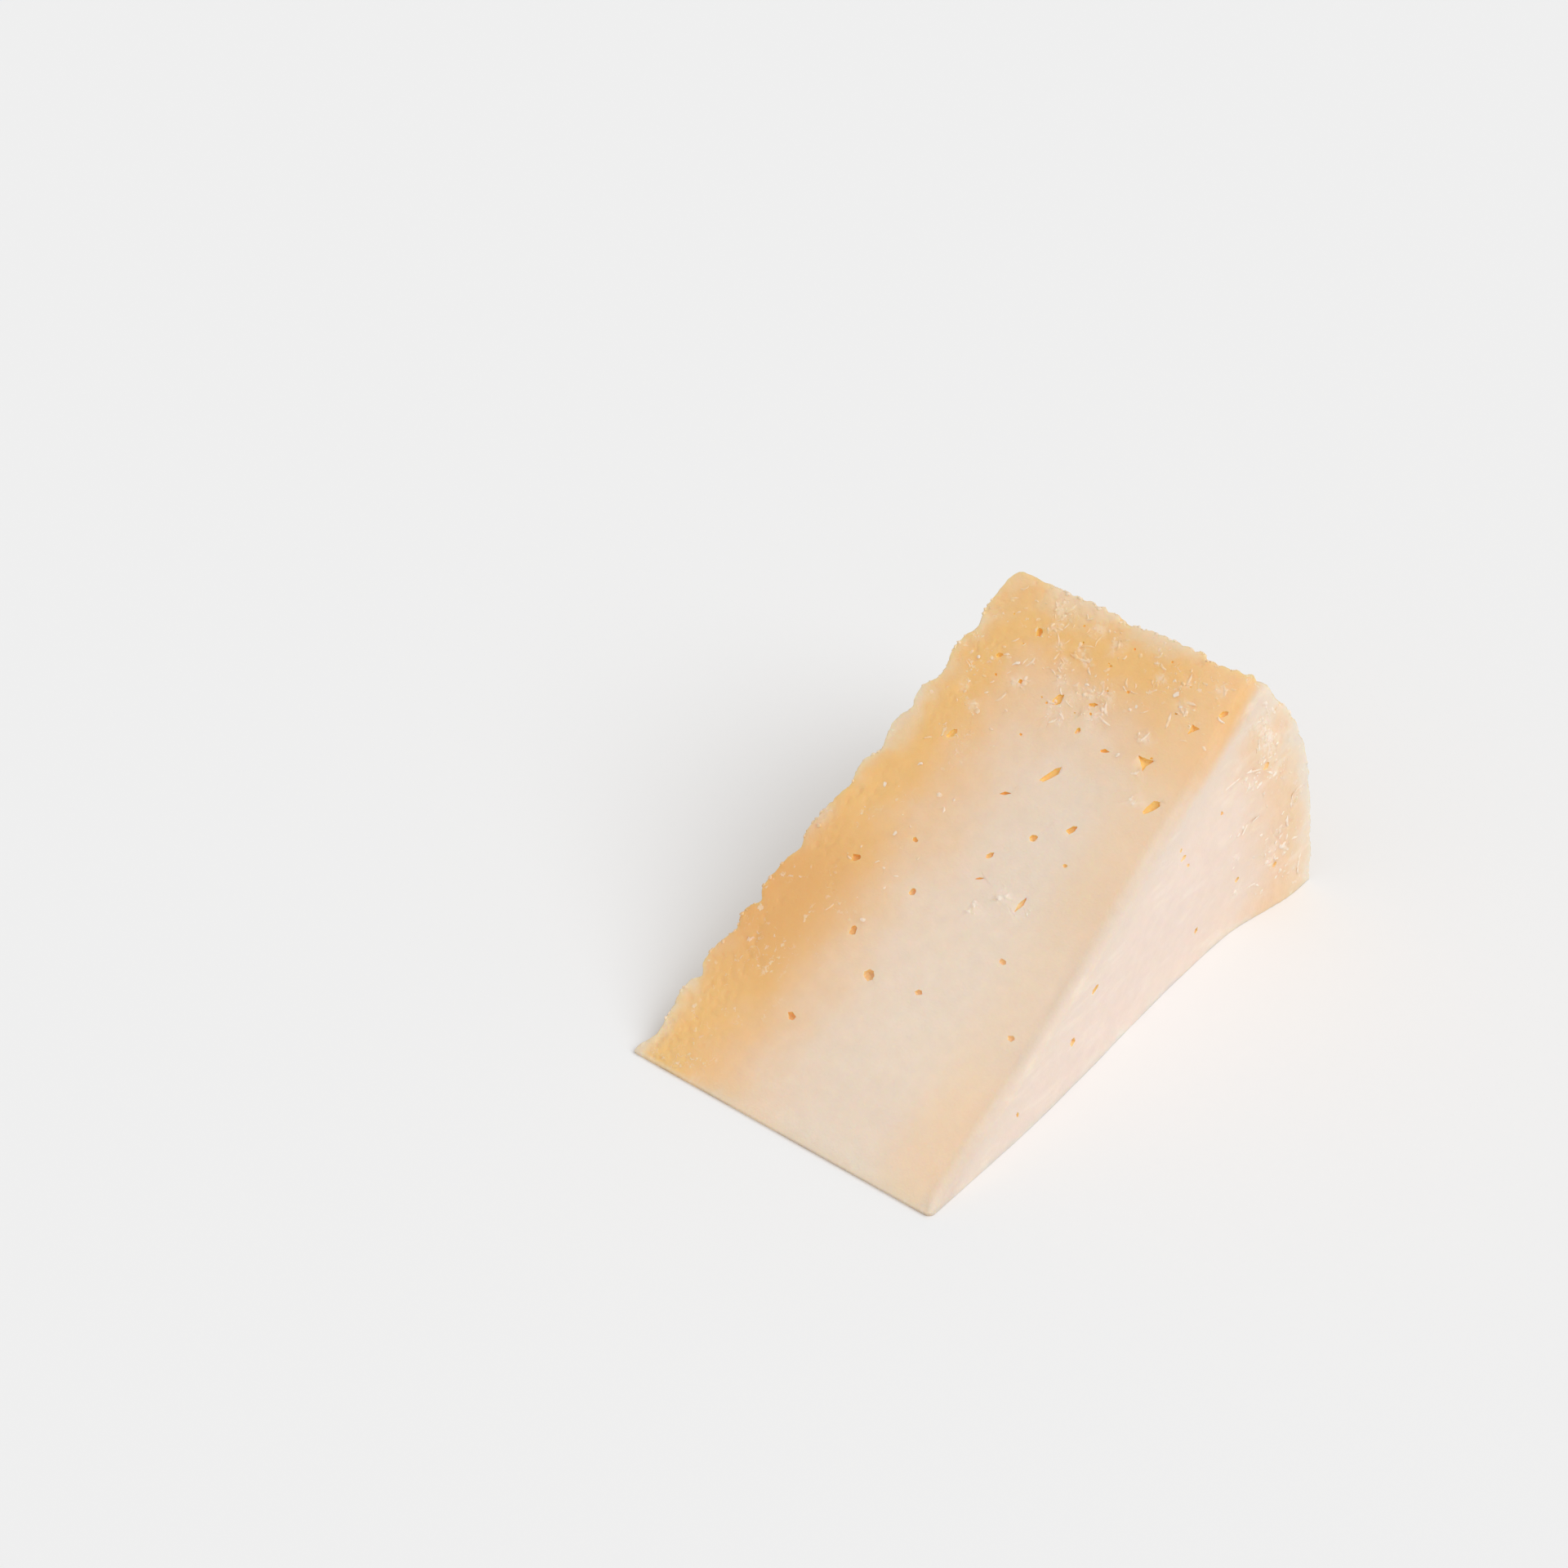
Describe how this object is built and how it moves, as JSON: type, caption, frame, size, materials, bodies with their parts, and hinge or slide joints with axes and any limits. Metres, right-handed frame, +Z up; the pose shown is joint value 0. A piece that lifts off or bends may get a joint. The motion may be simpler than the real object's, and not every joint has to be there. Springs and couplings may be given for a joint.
{
  "type": "aged sheep cheese wedge",
  "caption": "Thick wedge of aged, pressed sheep cheese with small eyes in the paste, a grooved flat rind and a plait-marked rim.",
  "frame": {"origin": "middle of the wedge's bounding box, on the surface that it lies on", "axes": "+X along the wheel's axis, from the pressed flat rind to the smooth halving cut; +Y from the sharp tip to the rim; +Z up, from the radial cut that it lies on to the one on top"},
  "size_m": [0.0598, 0.1034, 0.0538],
  "materials": {
    "cheese": "cut cheese paste: smooth, faintly waxy and translucent, creamy in the middle and golden near the rind; the rind is dry and pale golden tan"
  },
  "bodies": {
    "root": {"cheese_wedge": "cheese"}
  },
  "joints": []
}
